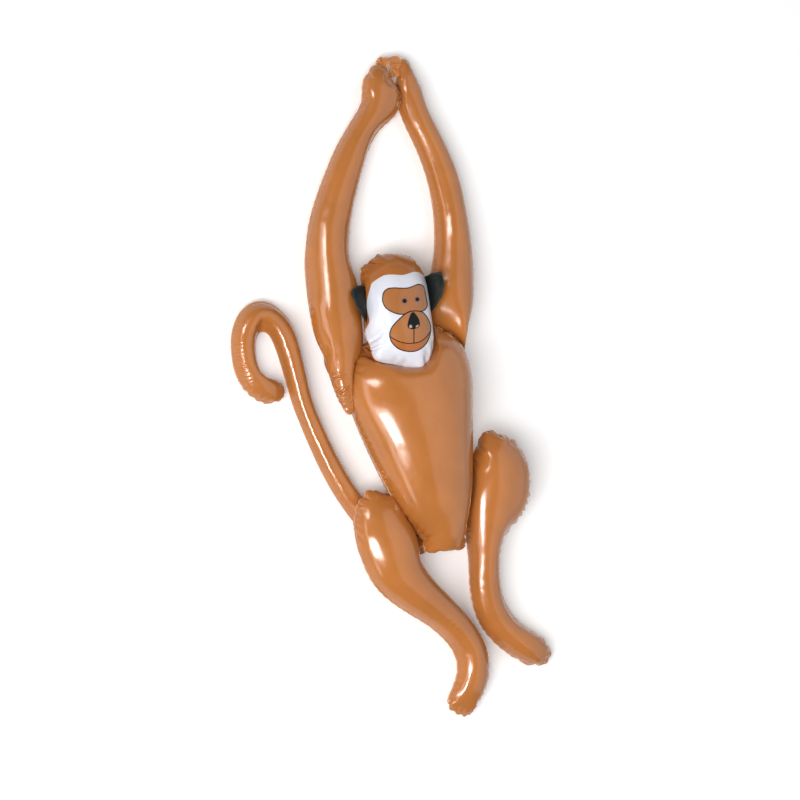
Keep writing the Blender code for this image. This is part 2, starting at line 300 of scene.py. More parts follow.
def cut_pattern(rows, rng, curl, corner, near_weld, inner):
    """One flat sheet: its points, the triangles inside the weld and those of the narrow flange
    outside it, the weld line and its outward side, and the flat middle."""
    line, ahead, right, half = flat_middle(rows, curl)
    outline = np.vstack([line + right * half[:, None], (line - right * half[:, None])[::-1]])
    loop = resample(soften_loop(resample(outline, 0.5), int(corner / 0.5)), near_weld)
    out = outward(loop)
    rings = [loop + out * FLANGE * share for share in (0, 0.5, 1)]
    low, high = loop.min(0) - near_weld, loop.max(0) + near_weld
    fine = lattice(low, high, near_weld, rng)
    fine = fine[inside(fine, loop)]
    gap = nearest(fine, loop)[1]
    fine = fine[(gap > 0.75 * near_weld) & (gap < BAND)]
    coarse = lattice(low, high, inner, rng)
    coarse = coarse[inside(coarse, loop)]
    coarse = coarse[nearest(coarse, loop)[1] >= BAND + 0.4 * inner]
    points = np.vstack(rings + [fine, coarse])
    m = len(loop)
    faces = triangulate(points, [(0, m), (2 * m, m)])
    body = inside(points[faces].mean(1), loop)
    return points, faces[body], faces[~body], loop, out, (line, ahead, right, half)


def at(values, place):
    """Values between the rows, at fractional row numbers."""
    k = np.clip(np.floor(place).astype(int), 0, len(values) - 2)
    share = place - k
    if values.ndim == 2:
        share = share[:, None]
    return values[k] * (1 - share) + values[k + 1] * share


def round_the_weld(flat, loop, k):
    """How far round the weld each flat point's nearest weld point is, in millimetres."""
    return lengths_along(loop)[k] + ((flat - loop[k]) * loop_tangent(loop)[k]).sum(1)


class Film:
    """Two sheets welded along their edge; the flange outside the weld is one layer here."""

    def __init__(self, rows, rng, curl, corner, spacing):
        flat, sheet, flange, loop, out, middle = cut_pattern(rows, rng, curl, corner, *spacing)
        line, ahead, right, half = middle
        m = len(loop)
        k, _ = nearest(flat, line)
        off = flat - line[k]
        pitch = np.linalg.norm(line[np.minimum(k + 1, len(line) - 1)] - line[np.maximum(k - 1, 0)], axis=1)
        pitch /= np.where((k > 0) & (k < len(line) - 1), 2, 1)
        place = np.clip(k + (off * ahead[k]).sum(1) / pitch, 0, len(line) - 1)
        side_step = (off * right[k]).sum(1)
        along, across, up = [at(axis, place) for axis in row_axes(rows)]
        half, width, height = at(half, place), at(rows[:, 3], place), at(rows[:, 4], place)
        past_end = ((flat - at(line, place)) * at(ahead, place)).sum(1)
        angle = np.clip(side_step / half, -1, 1) * math.pi / 2
        base = at(rows[:, :3], place) + across * (width * np.sin(angle))[:, None] + along * past_end[:, None]
        k, gap = nearest(flat, loop)
        around = round_the_weld(flat, loop, k)
        fade = np.clip(gap / np.maximum(half * 0.35, 2.0), 0, 1)
        lift = np.minimum(height * np.cos(angle), height * np.sqrt(1 - (1 - fade) ** 2) * 1.02)
        rim = 3 * m
        out = (along[:m] * (out * at(ahead, place[:m])).sum(1)[:, None]
               + across[:m] * (out * at(right, place[:m])).sum(1)[:, None])
        for ring in range(3):
            base[ring * m:(ring + 1) * m] = base[:m] + out * FLANGE * ring / 2
        lift[:rim] = 0
        inner = np.arange(rim, len(flat))
        twin = np.arange(len(flat))
        twin[inner] = len(flat) + np.arange(len(inner))
        both = np.concatenate([np.arange(len(flat)), inner])
        self.x = np.vstack([base + up * lift[:, None], (base - up * lift[:, None])[inner]])
        self.flat, self.place, self.rows, self.around = flat[both], place[both], rows, around[both]
        self.gap = np.where(both < rim, -FLANGE / 2 * (both // m), gap[both])
        self.m, self.rim, self.twin, self.count = m, rim, twin, len(flat)
        self.top, self.flange = sheet, flange
        self.bottom = twin[self.top][:, ::-1]


def across_edges(faces):
    """The two corners that face each other over every inner edge."""
    edge = np.sort(sides_of(faces), axis=1)
    corner = corners_facing(faces)
    key = edge[:, 0] * (edge.max() + 1) + edge[:, 1]
    order = np.argsort(key, kind="stable")
    key, corner = key[order], corner[order]
    pair = np.where(key[1:] == key[:-1])[0]
    return np.stack([corner[pair], corner[pair + 1]], 1)


def independent_groups(pairs, count, rng):
    """The pairs sorted into groups in which no point is used twice."""
    left, groups = np.arange(len(pairs)), []
    while len(left):
        used, taken, open_pairs = np.zeros(count, bool), [], left
        while len(open_pairs):
            rank = rng.permutation(len(open_pairs))
            best = np.full(count, len(open_pairs))
            a, b = pairs[open_pairs].T
            np.minimum.at(best, a, rank)
            np.minimum.at(best, b, rank)
            won = (best[a] == rank) & (best[b] == rank)
            taken.append(open_pairs[won])
            used[a[won]] = used[b[won]] = True
            open_pairs = open_pairs[~(used[a] | used[b])]
        group = np.sort(np.concatenate(taken))
        groups.append(group)
        left = np.setdiff1d(left, group, assume_unique=True)
    return groups


def springs(pairs, flat, rng):
    """Groups of (first points, second points, lengths in the flat sheet)."""
    rest = np.linalg.norm(flat[pairs[:, 0]] - flat[pairs[:, 1]], axis=1)
    return [(pairs[g, 0], pairs[g, 1], rest[g]) for g in independent_groups(pairs, len(flat), rng)]


def pull(x, groups, stretched, squeezed):
    """Draw each pair of points towards its length in the flat sheet."""
    for a, b, rest in groups:
        gap = x[b] - x[a]
        length = np.sqrt(np.einsum("ij,ij->i", gap, gap)) + 1e-12
        error = (length - rest) / length
        gap *= (np.where(error > 0, stretched, squeezed) * 0.5 * error)[:, None]
        x[a] += gap
        x[b] -= gap


def push_out(x, neighbour, gap):
    """Move points that are inside a neighbour's oval sections out to its surface."""
    rows, (along, across, up) = neighbour
    middle = rows[:, :3]
    room = rows[:, 3:].max() + 2
    near = np.where(((x > middle.min(0) - room) & (x < middle.max(0) + room)).all(axis=1))[0]
    if not len(near):
        return
    points = x[near]
    k = np.minimum(nearest(points, middle[::2])[0] * 2, len(rows) - 1)
    off = points - middle[k]
    a, b, t = (off * across[k]).sum(1), (off * up[k]).sum(1), (off * along[k]).sum(1)
    depth = np.sqrt((a / (rows[k, 3] + gap)) ** 2 + (b / (rows[k, 4] + gap)) ** 2)
    hit = (depth < 1) & (np.abs(t) < 4)
    move = across[k[hit]] * a[hit][:, None] + up[k[hit]] * b[hit][:, None]
    move *= (1 / np.maximum(depth[hit], 0.05) - 1)[:, None]
    length = np.linalg.norm(move, axis=1)
    x[near[hit]] += move * np.minimum(1, 1.5 / np.maximum(length, 1e-9))[:, None]


def blow_up(film, rng, neighbours, gap, pressure=0.004, bend=0.12, hold=0.1, noise=0.06):
    """Push the two sheets apart until they are as full as the weld and their own stiffness let them be."""
    x = film.x
    stretch = springs(edges_of(np.vstack([film.top, film.bottom, film.flange])), film.flat, rng)
    fold = springs(np.vstack([across_edges(np.vstack([film.top, film.flange])), across_edges(film.bottom)]),
                   film.flat, rng)
    skin = np.vstack([film.top, film.bottom])
    part = (film.place / 6).astype(int)
    share = np.bincount(part)[:, None] + 1e-9

    def middles():
        return gather(part, x, len(share)) / share

    home = middles()
    push = area_normals(x, skin)
    scale = pressure / np.linalg.norm(push, axis=1).mean()
    x += rng.normal(0, noise, x.shape) * (0.3, 0.3, 1.0)
    before = x.copy()
    for step in range(STEPS):
        if step % 3 == 0:
            push = area_normals(x, skin) * scale
        drift = np.clip((x - before) * 0.9, -0.4, 0.4)
        before = x.copy()
        x += drift + push
        pull(x, stretch, 1.0, 0.6)
        pull(x, fold, bend, bend)
        x += ((home - middles()) * hold)[part]
        if step % 4 == 0:
            for neighbour in neighbours:
                push_out(x, neighbour, gap)
        stop_at_floor(x)
    film.x = x


def in_sections(film):
    """Each point's row, that row's axes across and up, and how far along them the point is."""
    k = np.clip(np.round(film.place).astype(int), 0, len(film.rows) - 1)
    off = film.x - film.rows[k, :3]
    across, up = [axis[k] for axis in row_axes(film.rows)[1:]]
    return k, across, up, (off * across).sum(1), (off * up).sum(1)


def fit_to_rows(film):
    """Scale the blown-up film across and upwards so that each part has its drawn width and height."""
    rows, last = film.rows, len(film.rows) - 1
    k, across, up, a, b = in_sections(film)
    parts, wide, tall = np.arange(0, last + 1, 3), [], []
    for part in parts:
        near = np.abs(k - part) <= 3
        reach = np.abs(a[:film.m][near[:film.m]])
        wide.append(max(rows[part, 3] - RIM_SHARE, 2) / max(reach.mean() if len(reach) else 1, 1))
        tall.append(rows[part, 4] / max(np.percentile(np.abs(b[near]), 95), 1))
    kernel = np.hanning(7) / np.hanning(7).sum()
    wide, tall = [np.interp(film.place, parts, np.convolve(
        np.pad(np.clip(share, 0.85, 1.35), 3, mode="edge"), kernel, mode="valid")) for share in (wide, tall)]
    film.x += across * (a * (wide - 1))[:, None] + up * (b * (tall - 1))[:, None]
    axes = row_axes(rows)
    for end, ahead in ((0, -axes[0][0]), (last, axes[0][last])):
        share = ramp(-np.abs(film.place - end) * ROW_STEP, -END_REACH, 0)
        side = (film.x - rows[end, :3]) @ axes[1][end]
        last_row = np.where(np.abs(film.place[:film.m] - end) * ROW_STEP < 2.0)[0]
        short = (rows[end, :3] - film.x[last_row]) @ ahead - RIM_SHARE
        kernel = np.exp(-((side[:, None] - side[last_row][None]) / 5.0) ** 2) + 1e-6
        film.x += ahead * (share * np.clip(kernel @ short / kernel.sum(1), -3, 12))[:, None]
    stop_at_floor(film.x)


def settle(film, amount):
    """Draw the film towards its drawn oval sections; amount is 0 to 1 for every point."""
    rows = film.rows
    k, across, up, a, b = in_sections(film)
    depth = np.sqrt((a / (rows[k, 3] - RIM_SHARE)) ** 2 + (b / rows[k, 4]) ** 2) + 1e-6
    ends = ramp(np.minimum(film.place, len(rows) - 1 - film.place) * ROW_STEP, 4, 12)
    share = amount * ends * (np.clip(1 / depth, 0.75, 1.35) - 1)
    move = (across * a[:, None] + up * b[:, None]) * share[:, None]
    side = np.zeros(len(film.x))
    side[np.unique(film.top)], side[np.unique(film.bottom)] = 1, -1
    side[:3 * film.m] = 0
    room = side * ramp(film.gap, 0, 4) * rows[k, 4] * np.sqrt(np.clip(1 - (a / rows[k, 3]) ** 2, 0.02, 1))
    move += up * (amount * (1 - ends) * (room - b))[:, None]
    move[film.m:3 * film.m] = np.tile(move[:film.m], (2, 1))
    film.x += move


def calm(film, even, start=2.5, full=8.0, rounds=60):
    """Smooth the sheets away from the weld, where the pressure pulls real film smooth; where even
    (0 to 1) is more than 0, the calm part reaches almost to the weld."""
    edges = edges_of(np.vstack([film.top, film.bottom, film.flange]))
    degree = np.bincount(edges.ravel(), minlength=len(film.x))[:, None]
    weight = np.maximum(ramp(film.gap, start, full), even * ramp(film.gap, 0, 2.5))[:, None]
    for step in range(rounds):
        share = (0.5 if step % 2 == 0 else -0.51) * weight
        film.x += share * (neighbour_sum(film.x, edges) / degree - film.x)
        stop_at_floor(film.x)


def even_weld(film, amount, reach=4):
    """Draw the weld line's puckers out, by amount from 0 to 1."""
    m = film.m
    rings = [film.x[ring * m:(ring + 1) * m] for ring in range(3)]
    moves = [(soften_loop(ring, reach) - ring) * amount for ring in rings]
    k, gap = nearest(film.flat, film.flat[:m])
    film.x[3 * m:] += moves[0][k[3 * m:]] * np.exp(-(gap[3 * m:] / 4.0) ** 2)[:, None]
    for ring, move in enumerate(moves):
        film.x[ring * m:(ring + 1) * m] += move


def scallop(film, share, pitch, depth, rng):
    """Rounded lobes along the weld with pinched notches between; share is 0 to 1 for every weld point."""
    m = film.m
    out = unit(film.x[2 * m:3 * m] - film.x[:m], 1e-9)
    length = film.around.max() + 1
    waves = round(length / pitch)
    turn = film.around * (2 * math.pi / length)
    wander = sum(rng.uniform(-0.5, 0.5) * np.cos(n * turn + rng.uniform(0, 6)) for n in range(3, 16))
    wave = np.abs(np.cos(0.5 * waves * turn + wander)) - 0.55
    k, gap = nearest(film.flat, film.flat[:m])
    strength = share[k] * depth * wave
    gap = np.where(np.arange(len(film.x)) < 3 * m, 0, gap)
    film.x += out[k] * (strength * np.exp(-(gap / 4.5) ** 2))[:, None]
    normal = unit(area_normals(film.x, np.vstack([film.top, film.bottom])), 1e-12)
    swell = 0.55 * strength * ramp(gap, 0.5, 2.5) * np.exp(-(np.maximum(gap - 2.5, 0) / 3.0) ** 2)
    film.x += normal * swell[:, None]


# ---- From film to mesh

SHEETS = 0.25         # half the thickness of the welded flange


def closed_shell(film):
    """Points, triangles and facts for a closed skin; the flange becomes two layers with a rim."""
    rim = film.rim
    upper = np.vstack([film.top, film.flange])
    lift = unit(area_normals(film.x[:film.count], upper)[:rim], 1e-12) * SHEETS
    total = len(film.x)
    x = np.vstack([film.x, film.x[:rim] - lift])
    x[:rim] += lift
    stop_at_floor(x)
    under = film.twin.copy()
    under[:rim] = total + np.arange(rim)
    outer = np.arange(2 * film.m, rim)
    after = np.roll(outer, -1)
    (x0, y0), (x1, y1) = film.flat[outer].T, film.flat[after].T
    if np.sum(x0 * y1 - x1 * y0) < 0:
        outer, after = after, outer
    edge = np.vstack([np.stack([outer, under[outer], after], 1),
                      np.stack([after, under[outer], under[after]], 1)])
    faces = np.vstack([upper, under[upper][:, ::-1], edge])
    side = np.where(np.arange(len(x)) < film.count, 1.0, -1.0)
    flat = np.vstack([film.flat, film.flat[:rim]])
    turn = np.concatenate([film.around, film.around[:rim]]) * (2 * math.pi / (film.around.max() + 1))
    return x, faces, {"weld": np.concatenate([film.gap, film.gap[:rim]]), "front": side,
                      "along": flat[:, 0], "athwart": flat[:, 1],
                      "turn_x": np.cos(turn), "turn_y": np.sin(turn)}


def ripple(x, faces, facts, rng, waves, depth):
    """Small puckers square to the weld, stronger in some places than in others."""
    turn = np.arctan2(facts["turn_y"], facts["turn_x"])
    wander = sum(rng.uniform(-0.7, 0.7) * np.cos(n * turn + rng.uniform(0, 6)) for n in range(2, 14))
    strength = sum(rng.uniform(-0.35, 0.35) * np.cos(n * turn + rng.uniform(0, 6)) for n in range(2, 12))
    gap = facts["weld"]
    fade = ramp(gap, 0.3, 2.0) * np.exp(-(np.maximum(gap - 2.0, 0) / 2.6) ** 2)
    push = np.cos(waves * turn + wander) * fade * np.clip(0.75 + strength, 0, 1.6) * depth
    return x + unit(area_normals(x, faces), 1e-12) * push[:, None]


def press(x, faces, lines):
    """Sharp creases and soft hollows: (points, depth, width) of each, pressed in along the skin's normal."""
    normal = unit(area_normals(x, faces), 1e-12)
    for points, depth, width in lines:
        line = np.array(points, float)
        dense = [np.linspace(a, b, 12, endpoint=False) for a, b in zip(line, line[1:])]
        dense = np.vstack(dense + [line[-1:]])
        upper = x[(normal[:, 2] > 0.05) & (np.abs(x[:, :2] - dense[:, :2].mean(0)) < 40).all(axis=1)]
        dense[:, 2] = upper[nearest(dense[:, :2], upper[:, :2])[0], 2]
        near = np.where(((x > dense.min(0) - 4 * width) & (x < dense.max(0) + 4 * width)).all(axis=1))[0]
        k, gap = nearest(x[near], dense)
        ends = np.sin(np.clip(k / (len(dense) - 1), 0.0, 1.0) * math.pi) ** 0.5
        groove = np.exp(-(gap / width) ** 2) - 0.35 * np.exp(-((gap - 2 * width) / width) ** 2)
        x[near] -= normal[near] * (groove * ends * depth)[:, None]
    return x


def subdivide(x, faces, facts):
    """One round of Loop subdivision on a closed mesh."""
    edges, which = np.unique(np.sort(sides_of(faces), axis=1), axis=0, return_inverse=True)
    which = which.ravel()
    a, b = edges.T
    far = gather(which, x[corners_facing(faces)], len(edges)) / np.bincount(which)[:, None]
    middle = 0.375 * (x[a] + x[b]) + 0.25 * far
    degree = np.bincount(edges.ravel(), minlength=len(x))[:, None]
    weight = np.where(degree == 3, 3 / 16, 3 / (8 * degree))
    moved = (1 - degree * weight) * x + weight * neighbour_sum(x, edges)
    new = len(x) + which.reshape(3, -1)
    finer = np.vstack([np.stack([faces[:, 0], new[0], new[2]], 1), np.stack([faces[:, 1], new[1], new[0]], 1),
                       np.stack([faces[:, 2], new[2], new[1]], 1), new.T])
    facts = {name: np.concatenate([values, 0.5 * (values[a] + values[b])]) for name, values in facts.items()}
    return np.vstack([moved, middle]), finer, facts


def add_object(name, data):
    thing = bpy.data.objects.new(name, data)
    bpy.context.collection.objects.link(thing)
    return thing


def mesh_object(name, x, faces, facts):
    """A smooth object from points in drawing millimetres and triangles."""
    mesh = bpy.data.meshes.new(name)
    mesh.vertices.add(len(x))
    mesh.vertices.foreach_set("co", ((x + shift) * MM).astype(np.float32).ravel())
    mesh.loops.add(3 * len(faces))
    mesh.loops.foreach_set("vertex_index", faces.astype(np.int32).ravel())
    mesh.polygons.add(len(faces))
    mesh.polygons.foreach_set("loop_start", np.arange(0, 3 * len(faces), 3, dtype=np.int32))
    mesh.update(calc_edges=True)
    mesh.validate()
    mesh.shade_smooth()
    for fact, values in facts.items():
        layer = mesh.attributes.new(fact, "FLOAT", "POINT")
        layer.data.foreach_set("value", values.astype(np.float32))
    return add_object(name, mesh)


# The drawing is moved so that its hanging tab lies where the frame has it.
TAB_DRAWN_AT = (28.5, 249.5)
low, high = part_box("hanging_tab")
shift = np.array([(low[0] + high[0]) / 2 / MM - TAB_DRAWN_AT[0],
                  (low[1] + high[1]) / 2 / MM - TAB_DRAWN_AT[1], 0.0])

# Each chamber: its stations; the neighbours that it gives way to; how much of its turning its
# flat pattern keeps (curl); the roundness of the pattern's corners, how far its weld is evened
# out, and the pitch and depth of its ripples.
CHAMBERS = {
    "head": (HEAD, (), 1.0, 4.0, 0.9, 5.0, 0.10),
    "torso": (TORSO, ("head",), 1.0, 3.0, 0.5, 4.0, 0.4),
    "right_arm": (RIGHT_ARM, ("torso", "head"), 0.8, 5.0, 0.6, 4.5, 0.14),
    "left_arm": (LEFT_ARM, ("torso", "head", "right_arm"), 0.8, 5.0, 0.6, 4.5, 0.14),
    "right_leg": (RIGHT_LEG, ("torso", "tail"), 0.85, 7.0, 0.5, 4.5, 0.16),
    "left_leg": (LEFT_LEG, ("torso",), 0.85, 7.0, 0.35, 5.0, 0.18),
    "tail": (TAIL, ("torso",), 0.68, 5.0, 0.6, 2.7, 0.20),
}
FINE_HEAD = (1.2, 2.0)
CLEARANCE, TORSO_CLEARANCE = 0.4, -2.5
sections = {name: smooth_rows(chamber[0]) for name, chamber in CHAMBERS.items()}
sections = {name: (rows, row_axes(rows)) for name, rows in sections.items()}


def lobes(name, x):
    """Where a piece's weld is scalloped: 0 to 1 for each weld point, with the pitch and depth."""
    if name == "head":
        return ramp(x[:, 1], 84, 94) * (1 - 0.6 * ramp(-x[:, 0], 10, 18)), 8.0, 3.3
    if name == "torso":
        return ramp(-x[:, 1], 112, 122), 7.5, 1.5
    if name == "left_leg":
        outer = ramp(x[:, 0] - 0.25 * x[:, 1], 78, 92) * ramp(x[:, 1], -160, -120)
        return np.maximum(outer, 0.3 + 0.7 * ramp(x[:, 0], 84, 90)), 7.0, 2.0
    if name == "right_leg":
        outer = ramp(-x[:, 1], 195, 212) * np.maximum(ramp(x[:, 0], 20, 30), ramp(-x[:, 1], 244, 250))
        return np.maximum(outer, 0.2), 7.0, 2.0
    if name == "tail":
        return ramp(-x[:, 0], 84, 96) * ramp(-x[:, 1], -24, -18), 6.0, 1.2
    return 0.35 * np.ones(len(x)), 6.5, 1.0


def make_chamber(name):
    _, neighbours, curl, corner, evened, pitch, depth = CHAMBERS[name]
    seed = len(name) * 7 + ord(name[0])
    rng = np.random.default_rng(seed)
    rows = sections[name][0]
    film = Film(rows, rng, curl, corner, FINE_HEAD if name == "head" else SPACING)
    neighbours = [sections[other] for other in neighbours]
    blow_up(film, rng, neighbours, TORSO_CLEARANCE if name == "torso" else CLEARANCE)
    fit_to_rows(film)
    if name == "torso":
        settle(film, np.maximum(0.9 * ramp(film.x[:, 1], -8, 10), 0.85 * ramp(film.gap, 2, 12)))
        for _ in range(12):
            push_out(film.x, neighbours[0], TORSO_CLEARANCE)
    if name == "right_leg":
        settle(film, 0.8 * ramp(film.gap, 1, 7) * ramp(film.x[:, 1], -175, -140))
    even_weld(film, evened)
    y = film.x[:, 1]
    calm(film, {"head": 0.9 * ramp(-y, -92, -80), "torso": 0.8 * ramp(y, 0, 20),
                "tail": 0.7 * ramp(y, 45, 60)}.get(name, 0))
    scallop(film, *lobes(name, film.x[:film.m]), rng)
    x, faces, facts = subdivide(*closed_shell(film))
    waves = round(RIPPLED * lengths_along(rows[:, :3])[-1] / pitch)
    x = ripple(x, faces, facts, np.random.default_rng(100 + seed), waves, depth)
    return press(x, faces, CREASES.get(name, [])), faces, facts


# ---- Materials

ORANGE = (0.435, 0.150, 0.033)
TAN = (0.40, 0.150, 0.045)
DARK_TAN = (0.41, 0.120, 0.024)
WHITE = (0.71, 0.72, 0.79)
INK = (0.012, 0.014, 0.014)
RING = (0.30, 0.12, 0.085)
EYE_BROWN = (0.36, 0.15, 0.07)
NOSTRIL_PINK = (0.55, 0.36, 0.30)
PALE_RIM = (0.66, 0.36, 0.17)
# painted shade: the dark line along the weld stands in for the shade in the recess where the two sheets meet
WELD_RECESS_SHADE = (0.20, 0.055, 0.012)
FRONT_TO_BACK = 40    # keeps the two sheets' patterns apart


class Paint:
    """One material and a short way to write its nodes."""

    def __init__(self, name):
        self.material = bpy.data.materials.new(name)
        self.material.use_nodes = True
        self.tree = self.material.node_tree
        self.shader = self.tree.nodes["Principled BSDF"]
        self.height = None

    def feed(self, socket, value):
        if isinstance(value, bpy.types.NodeSocket):
            self.tree.links.new(value, socket)
        else:
            socket.default_value = (*value, 1) if socket.type == "RGBA" else value

    def set(self, socket, value):
        self.feed(self.shader.inputs[socket], value)

    def node(self, kind, inputs=(), **settings):
        """The outputs of a new node; inputs are pairs of a socket and its value, or a dict."""
        node = self.tree.nodes.new("ShaderNode" + kind)
        for name, value in settings.items():
            setattr(node, name, value)
        for socket, value in dict(inputs).items():
            self.feed(node.inputs[socket], value)
        return node.outputs

    def math(self, operation, *values):
        return self.node("Math", enumerate(values), operation=operation)[0]

    def times(self, a, b):
        return self.math("MULTIPLY", a, b)

    def fact(self, name):
        return self.node("Attribute", attribute_name=name)["Fac"]

    def join(self, x, y, z):
        return self.node("CombineXYZ", enumerate((x, y, z)))[0]

    def noise(self, place, scale, detail):
        return self.node("TexNoise", {"Vector": place, "Scale": scale, "Detail": detail})["Fac"]

    def ramp(self, value, low, high, start=0.0, end=1.0):
        inputs = {"Value": value, "From Min": low, "From Max": high, "To Min": start, "To Max": end}
        return self.node("MapRange", inputs, interpolation_type="SMOOTHSTEP")["Result"]

    def mix(self, share, a, b, blend="MIX"):
        inputs = {"Factor": share, 6: a, 7: b}
        return self.node("Mix", inputs, data_type="RGBA", blend_type=blend)[2]

    def bump(self, height, distance):
        """A relief of height (0 to 1) times distance, in metres, on top of the earlier ones."""
        inputs = {"Strength": 1.0, "Distance": distance, "Height": height}
        if self.height is not None:
            inputs["Normal"] = self.height
        self.height = self.node("Bump", inputs)["Normal"]
        self.set("Normal", self.height)


def sheet_surface(paint, colour, ior):
    """What all the vinyl has: uneven colour, orange peel, haze, a rougher embossed weld, and painted shade
    along the weld's recess.
    """
    along, athwart = paint.fact("along"), paint.fact("athwart")
    place = paint.join(along, athwart, paint.times(paint.fact("front"), FRONT_TO_BACK))
    patchy = paint.ramp(paint.noise(place, 0.035, 3), 0.3, 0.7, 0.93, 1.04)
    speck = paint.ramp(paint.noise(place, 2.2, 2), 0.3, 0.7, 0.975, 1.02)
    shade = paint.times(patchy, speck)
    colour = paint.mix(1.0, colour, paint.join(shade, shade, shade), "MULTIPLY")
    weld = paint.fact("weld")
    rim = paint.ramp(weld, 0.15, -0.25)
    colour = paint.mix(paint.times(rim, 0.45), colour, PALE_RIM)
    # Painted shade: a darker line along the weld, in place of the shade that falls in its recess.
    groove = paint.ramp(paint.math("ABSOLUTE", weld), 0.45, 0.0)
    colour = paint.mix(paint.times(groove, 0.30), colour, WELD_RECESS_SHADE)
    paint.set("Base Color", colour)
    haze = paint.ramp(paint.noise(place, 0.12, 3), 0.35, 0.7, 0.15, 0.22)
    paint.set("Roughness", paint.math("ADD", haze, paint.times(rim, 0.15)))
    paint.set("IOR", ior)
    paint.bump(paint.noise(place, 0.055, 1), 0.0004)
    paint.bump(paint.noise(place, 1.1, 2), 0.000015)
    dots = [paint.math("SINE", paint.times(way, 7.0)) for way in (along, athwart)]
    paint.bump(paint.times(paint.times(*dots), rim), 0.00005)


def vinyl_material():
    paint = Paint("orange_vinyl")
    sheet_surface(paint, ORANGE, 1.5)
    return paint.material


def face_material():
    """White and orange sheet with the face printed on the front one."""
    paint = Paint("face_vinyl")
    u, v = paint.fact("face_u"), paint.fact("face_v")

    def edge(fact, width=0.12):
        return paint.ramp(paint.fact(fact), -width, width)

    def line(fact, half):
        return paint.ramp(paint.math("ABSOLUTE", paint.fact(fact)), half + 0.13, half - 0.13)

    def spot(place, radius, soft):
        du, dv = paint.math("SUBTRACT", u, place[0]), paint.math("SUBTRACT", v, place[1])
        square = paint.math("ADD", paint.times(du, du), paint.times(dv, dv))
        return paint.ramp(paint.math("SQRT", square), radius + soft, radius - soft)

    colour = paint.mix(edge("panel"), ORANGE, WHITE)
    colour = paint.mix(edge("mask"), colour, TAN)
    inked = [line("mask", 0.42)]
    colour = paint.mix(inked[0], colour, INK)
    for place, radius in zip(EYES, EYE_RADII):
        colour = paint.mix(spot(place, radius * 1.6, 0.5), colour, RING)
        colour = paint.mix(spot(place, radius * 1.25, 0.3), colour, EYE_BROWN)
        inked.append(spot(place, radius, 0.25))
        colour = paint.mix(inked[-1], colour, INK)
    below = paint.ramp(paint.fact("mouth"), 0.12, -0.12)
    colour = paint.mix(edge("muzzle"), colour, paint.mix(below, TAN, DARK_TAN))
    smile = paint.times(line("mouth", 0.36), edge("muzzle"))
    lip_u, lip_top, lip_foot = LIP_LINE
    upright = paint.ramp(paint.math("ABSOLUTE", paint.math("SUBTRACT", u, lip_u)), 0.52, 0.26)
    between = paint.times(paint.ramp(v, lip_foot - 0.1, lip_foot + 0.1),
                         paint.ramp(v, lip_top + 0.1, lip_top - 0.1))
    for mark in (line("muzzle", 0.42), smile, paint.times(upright, between), edge("nose")):
        colour = paint.mix(mark, colour, INK)
        inked.append(mark)
    colour = paint.mix(edge("nostrils", 0.2), colour, NOSTRIL_PINK)
    front = paint.ramp(paint.fact("front"), -0.1, 0.1)
    colour = paint.mix(front, ORANGE, colour)
    sheet_surface(paint, colour, 1.4)
    bare = paint.math("SUBTRACT", 1.0, inked[0])
    for mark in inked[1:]:
        bare = paint.times(bare, paint.math("SUBTRACT", 1.0, mark))
    shine = paint.ramp(bare, 0, 1, 0.08, 0.5)
    paint.set("Specular IOR Level", paint.math("MAXIMUM", shine, paint.ramp(front, 1, 0, 0, 0.5)))
    return paint.material


def ear_material():
    paint = Paint("ear_vinyl")
    place = paint.node("TexCoord")["Object"]
    shade = paint.ramp(paint.noise(place, 60, 3), 0.3, 0.7)
    colour = paint.mix(shade, (0.007, 0.010, 0.009), (0.014, 0.019, 0.017))
    rim = paint.ramp(paint.fact("weld"), 1.5, 0.9)
    colour = paint.mix(paint.times(rim, 0.6), colour, (0.030, 0.036, 0.034))
    paint.set("Base Color", colour)
    paint.set("Roughness", paint.ramp(paint.noise(place, 300, 3), 0.3, 0.7, 0.42, 0.56))
    paint.set("IOR", 1.3)
    paint.set("Specular IOR Level", 0.25)
    paint.bump(paint.noise(place, 90, 2), 0.0008)
    paint.bump(paint.noise(place, 1800, 2), 0.00006)
    return paint.material


# ---- The view, and the face as it is printed: millimetres right and up from the top of the nose

LEAN, ROLL = math.radians(22), math.radians(8)
look = Vector((math.sin(LEAN), 0, -math.cos(LEAN)))
level = Vector((math.cos(LEAN), 0, math.sin(LEAN)))
north = Vector((0, 1, 0))
right = math.cos(ROLL) * level - math.sin(ROLL) * north
up = math.sin(ROLL) * level + math.cos(ROLL) * north

FACE_AT = np.array([0.09, 57.54, 63.48])
PANEL = [
    (-32.1, 21.7), (-30.2, 23.6), (-26.8, 26), (-21.7, 28.5), (-15.4, 28.9), (-9.1, 28.6), (-5.3, 29.4),
    (-1.5, 30.8), (2, 31.4), (5.1, 30.8), (10, 27), (24, 10), (30, -20), (24, -44), (-4, -54), (-25, -50),
    (-34, -40), (-38.5, -33), (-39.5, -26.9), (-39, -21.8), (-38, -16.2), (-35.5, -11.1), (-33.6, -6.7),
    (-34.7, -1), (-35.6, 4), (-35.4, 9.1), (-34.3, 14.1), (-33, 18.6),
]
MASK = [
    (-23.5, 11.6), (-22.5, 15.4), (-19.8, 17.8), (-15.4, 18.6), (-9.1, 18.4), (-4, 18.7), (-0.3, 20.1),
    (3.5, 21.6), (6.7, 21.1), (8.9, 18.6), (9.8, 12.9), (10.6, 6.6), (9.5, 3.1), (6.7, 1), (1, 0.8),
    (-2.8, 0.1), (-7.2, -1.6), (-11.6, -1.5), (-16.7, 0.3), (-21.1, 3.4), (-23.3, 7.8),
]
